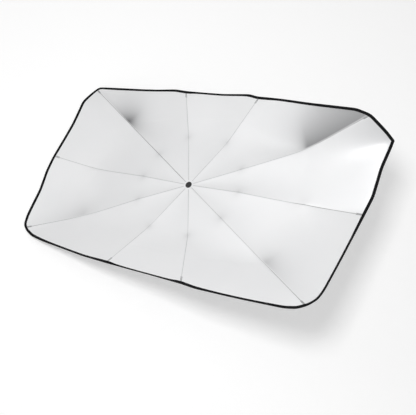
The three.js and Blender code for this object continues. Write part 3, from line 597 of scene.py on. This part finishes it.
def carried_by_first(index):
    """How many faces of each row of a gore go with the rib before it. The others go with the next rib."""
    here, there = ribs[index], ribs[(index + 1) % len(ribs)]
    counts = np.full(ROWS, HALF)
    if here.long == there.long:
        return counts
    long_rib, short_rib = (here, there) if here.long else (there, here)
    columns = (index * ACROSS + np.arange(ACROSS + 1)) % COLUMNS
    points = cloth_grid[OUTER_ROW:, columns, :2]
    centres = (points[:-1, :-1] + points[1:, 1:]) / 2
    first, second = long_rib.knots[1][0], long_rib.knots[2][0]
    allowed = second - first + OVER_JOINT
    over_long = np.clip(2 * second - first - centres @ long_rib.direction - allowed, 0, None)
    over_short = np.clip(centres @ short_rib.direction - first - allowed, 0, None)
    near_long = np.arange(ACROSS) < HALF
    if not here.long:
        near_long = ~near_long
    on_long = (over_long < over_short) | ((over_long == over_short) & near_long)
    on_long = np.maximum.accumulate(np.clip(on_long.sum(1), LEAST_CARRIED, ACROSS - LEAST_CARRIED))
    counts[OUTER_ROW:] = on_long if here.long else ACROSS - on_long
    return counts


carried = [carried_by_first(index) for index in range(len(ribs))]


def fold_axis(grid, cells, middle):
    """The direction, square to the rib, in which a strip is widest, and a point of its line on the rib."""
    line = grid[:, middle]
    ahead = (line[-1] - line[0]) / np.linalg.norm(line[-1] - line[0])
    away = (grid - line[:, None])[:-1][:, :-1][cells]
    away = away - np.outer(away @ ahead, ahead)
    axis = np.linalg.eigh(away.T @ away)[1][:, -1]
    return Vector(turned_row(axis)), Vector(from_shade(line[0]))


replaced = ["canopy"]
folds = {}
for index, rib in enumerate(ribs):
    lengths = [("inner", 0, ROWS_INNER), ("middle", ROWS_INNER, OUTER_ROW), ("outer", OUTER_ROW, ROWS)]
    if not rib.long:
        lengths = [("inner", 0, ROWS_INNER), ("outer", ROWS_INNER, ROWS)]
    for turning_side, label in ((-1, "right"), (1, "left")):
        if turning_side > 0:
            strip = (np.arange(ACROSS + 1) + index * ACROSS) % COLUMNS
            kept = np.arange(ACROSS) < carried[index][:, None]
            middle = 0
        else:
            strip = (np.arange(-ACROSS, 1) + index * ACROSS) % COLUMNS
            kept = np.arange(ACROSS) >= carried[index - 1][:, None]
            middle = ACROSS
        for part, first_row, last_row in lengths:
            rows = np.arange(first_row, last_row + 1)
            cells = kept[first_row:last_row]
            grid = cloth_grid[np.ix_(rows, strip)]
            across = np.abs(across_from(grid, middle))
            piece = sheet_object(
                f"cloth_{rib.name[4:]}_{label}_{part}",
                grid,
                cloth_normals[np.ix_(rows, strip)],
                {
                    "seam": across,
                    "hem": to_hem[np.ix_(rows, strip)],
                    "grey": grey[np.ix_(rows, strip)],
                    "strained": strained[np.ix_(rows, strip)],
                },
                cloth,
                CLOTH_THICKNESS,
                middle,
                cells,
            )
            axis, anchor = fold_axis(grid, cells, middle)
            folds[index, label] = axis, anchor
            body = f"{rib.name}_{part}"
            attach(piece, body)
            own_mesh(piece)
            if replaced:
                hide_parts(*replaced)
                replaced = []
            area = grid_area(grid, cells)
            width = float((across[:-1, :-1] * cells).max())
            length = float(np.linalg.norm(np.diff(grid[:, middle], axis=0), axis=1).sum())
            length = max(length, area / width)

# The disc of cloth that is clamped between the crown and its cap
CLAMP_RADIUS = 0.009
NO_MARK = 0.3  # a distance at which the seams and the hem leave no mark
ring = np.vstack([cloth_grid[0], cloth_grid[0][:1]])
inside = ring.copy()
inside[:, :2] *= CLAMP_RADIUS / np.hypot(ring[:, 0], ring[:, 1])[:, None]
shares = np.linspace(0, 1, 4)[:, None, None]
disc = inside[None] * (1 - shares) + ring[None] * shares
level = np.zeros(disc.shape)
level[:, :, 2] = 1
far = np.full(disc.shape[:2], NO_MARK)
marks = {"seam": far, "hem": far, "grey": far * 0, "strained": far * 0}
whole = np.ones((disc.shape[0] - 1, disc.shape[1] - 1), bool)
middle_disc = sheet_object("cloth_middle", disc, level, marks, cloth, CLOTH_THICKNESS, 0, whole)
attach(middle_disc, "shaft")
round(grid_area(disc, whole), 5)

# Edge binding
# A black woven tape, folded over the raw edge of the cloth and sewn down all round. It has a matt, slightly
# frayed weave, and is parted like the cloth, so that each stretch moves with the outer section of its rib.
TAPE_INWARD = 0.0084
TAPE_OUTWARD = 0.0025
TAPE_HALF_HEIGHT = 0.0012
TAPE_STEPS = 4  # tape sections to each face of the cloth

tape = Finish("black_tape", Roughness=0.9, Specular_IOR_Level=0.15)
tape_place = tape.place()
fray = tape.noise(tape_place, 400.0)
tape.put(tape.surface, "Base Color", tape.blend(fray, (0.003, 0.003, 0.0035), (0.01, 0.01, 0.011)))
tape_run = tape.add("TexWave", {"bands_direction": "X"}, {"Vector": tape.place("UV"), "Scale": 260.0})
tape.rough_up(tape_run * 0.5 + fray * 0.5, 0.0003, 0.6)

hem = cloth_grid[-1]
hem_bearings = np.unwrap(np.arctan2(hem[:, 1], hem[:, 0]))
hem_bearings = np.append(hem_bearings, hem_bearings[0] + 2 * math.pi)
fine_index = np.arange(COLUMNS * TAPE_STEPS) / TAPE_STEPS
fine_bearings = np.interp(fine_index, np.arange(COLUMNS + 1), hem_bearings)
whole_bearings = np.append(edge_bearings, edge_bearings[0] + 2 * math.pi)
turned = edge_bearings[0] + (fine_bearings - edge_bearings[0]) % (2 * math.pi)
closed_edge = np.vstack([edge_line, edge_line[:1]])
tape_line = np.stack([np.interp(turned, whole_bearings, closed_edge[:, axis]) for axis in range(3)], 1)
tape_ahead = np.roll(tape_line, -1, 0) - np.roll(tape_line, 1, 0)
tape_ahead /= np.linalg.norm(tape_ahead, axis=1)[:, None]
into = cloth_grid[-3] - cloth_grid[-1]
into = np.vstack([into, into[:1]])
whole_index = np.arange(COLUMNS + 1)
tape_inward = np.stack([np.interp(fine_index, whole_index, into[:, axis]) for axis in range(3)], 1)
tape_inward -= (tape_inward * tape_ahead).sum(1)[:, None] * tape_ahead
tape_inward /= np.linalg.norm(tape_inward, axis=1)[:, None]


def tape_object(name, first_column, last_column):
    near = np.arange(first_column * TAPE_STEPS, last_column * TAPE_STEPS + 1) % len(tape_line)
    hem = tape_line[near]
    ahead = tape_ahead[near]
    inward = tape_inward[near]
    above = np.cross(ahead, inward)
    above *= np.sign(above[:, 2])[:, None]
    profile = [
        (TAPE_INWARD, -0.65),
        (TAPE_INWARD, 0.65),
        (TAPE_INWARD - 0.0006, 1.0),
        (0.0014, 1.0),
        (-TAPE_OUTWARD + 0.0006, 0.8),
        (-TAPE_OUTWARD, 0.3),
        (-TAPE_OUTWARD, -0.3),
        (-TAPE_OUTWARD + 0.0006, -0.8),
        (0.0014, -1.0),
        (TAPE_INWARD - 0.0006, -1.0),
    ]
    points = []
    for place, into, top in zip(hem, inward, above):
        for reach, height in profile:
            points.append(place + into * reach + top * height * TAPE_HALF_HEIGHT)
    count = len(profile)
    faces = [tuple(range(count)), tuple(range(len(points) - 1, len(points) - count - 1, -1))]
    for i in range(len(hem) - 1):
        for k in range(count):
            a, b = i * count + k, i * count + (k + 1) % count
            faces.append((a, a + count, b + count, b))
    mesh = bpy.data.meshes.new(name)
    mesh.from_pydata(from_shade(points).tolist(), [], faces)
    run = np.append(0, np.cumsum(np.linalg.norm(np.diff(hem, axis=0), axis=1)))
    around = np.linspace(0, 0.014, count)
    uv = np.array([(along_run, turn_run) for along_run in run for turn_run in around])
    layer = mesh.uv_layers.new(name="tape")
    loops = np.zeros(len(mesh.loops), np.int32)
    mesh.loops.foreach_get("vertex_index", loops)
    layer.data.foreach_set("uv", uv[loops].astype(np.float32).ravel())
    work = bmesh.new()
    work.from_mesh(mesh)
    bmesh.ops.recalc_face_normals(work, faces=work.faces)
    work.to_mesh(mesh)
    work.free()
    piece = bpy.data.objects.new(name, mesh)
    bpy.context.scene.collection.objects.link(piece)
    piece.data.materials.append(tape.material)
    bpy.ops.object.select_all(action="DESELECT")
    bpy.context.view_layer.objects.active = piece
    piece.select_set(True)
    bpy.ops.object.shade_smooth_by_angle(angle=math.radians(50))
    return piece


replaced = ["edge_binding"]
for index, rib in enumerate(ribs):
    seam_column = index * ACROSS
    spans = {
        "right": (seam_column - ACROSS + carried[index - 1][-1], seam_column),
        "left": (seam_column, seam_column + carried[index][-1]),
    }
    for label, span in spans.items():
        piece = tape_object(f"tape_{rib.name[4:]}_{label}", *span)
        axis, anchor = folds[index, label]
        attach(piece, f"{rib.name}_outer")
        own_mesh(piece)
        if replaced:
            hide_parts(*replaced)
            replaced = []

# Crown, cap, runner and handle
# Black plastic mouldings. The crown is fixed to the top of the shaft with its cap over the cloth, the runner
# slides on the shaft, and the grip sits on the end of the lower tube. Their surface has a fine grain and is
# a little shinier in patches, from handling.
moulding = Finish("black_plastic", Roughness=0.45)
grain = moulding.noise(moulding.place(), 900.0)
patch = moulding.noise(moulding.place(), 60.0)
moulding.put(
    moulding.surface, "Base Color", moulding.blend(patch, (0.008, 0.008, 0.009), (0.02, 0.02, 0.021))
)
moulding.put(moulding.surface, "Roughness", 0.38 + patch * 0.16)
moulding.rough_up(grain, 0.00015, 0.5)

# Ribs and stretchers
# Strips of steel pressed to a channel and riveted to each other. The inner and middle sections and the
# stretchers are coated black, and the outer sections and both tubes of the shaft are bright plated.
coated = Finish("black_steel", Metallic=0.0, Roughness=0.4)
coat = coated.noise(coated.place(), 300.0)
coated.put(coated.surface, "Base Color", coated.blend(coat, (0.012, 0.012, 0.013), (0.03, 0.03, 0.032)))
coated.put(coated.surface, "Roughness", 0.32 + coat * 0.2)
coated.rough_up(coat, 0.0001, 0.4)
plated = Finish("plated_steel", Metallic=1.0, Roughness=0.3)
drawn = plated.noise(plated.place(), 220.0)
plated.put(plated.surface, "Base Color", plated.blend(drawn, (0.5, 0.51, 0.53), (0.66, 0.67, 0.69)))
plated.put(plated.surface, "Roughness", 0.22 + drawn * 0.16)
plated.rough_up(drawn, 0.0001, 0.3)

finishes = {"black_plastic": moulding, "black_steel": coated, "plated_steel": plated}
slots = {entry["node"]: entry["material_slot"] for entry in frame["record"]["subparts"]}
for name, node in nodes.items():
    if slots[name] in finishes:
        node.data.materials.clear()
        node.data.materials.append(finishes[slots[name]].material)
